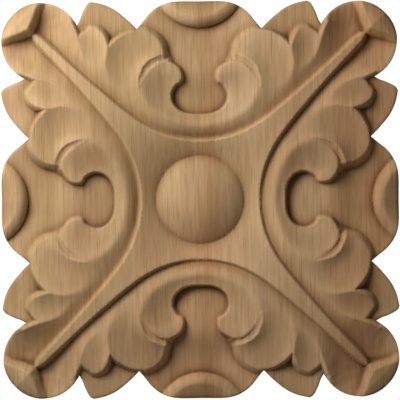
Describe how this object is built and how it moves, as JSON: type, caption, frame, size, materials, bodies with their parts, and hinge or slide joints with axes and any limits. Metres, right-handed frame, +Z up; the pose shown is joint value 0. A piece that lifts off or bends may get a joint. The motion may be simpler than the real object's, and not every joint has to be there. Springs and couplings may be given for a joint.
{
  "type": "carved wooden rosette",
  "caption": "Square carved wooden rosette with a domed boss in a dished X-shaped panel, scrolls and leafy lobes round it, and a flat back for fixing to furniture, a wall or a ceiling.",
  "frame": {"origin": "centre of the flat back, where the rosette is fixed", "axes": "+Z up, the carved face looks along -Y, and the back lies on y = 0; the grain runs along Z"},
  "size_m": [0.13, 0.021, 0.13],
  "materials": {
    "wood": "sanded, unstained tan hardwood with fine straight grain and a satin sheen, warmer and darker in the cuts"
  },
  "bodies": {
    "root": {"rosette": "wood"}
  },
  "joints": []
}
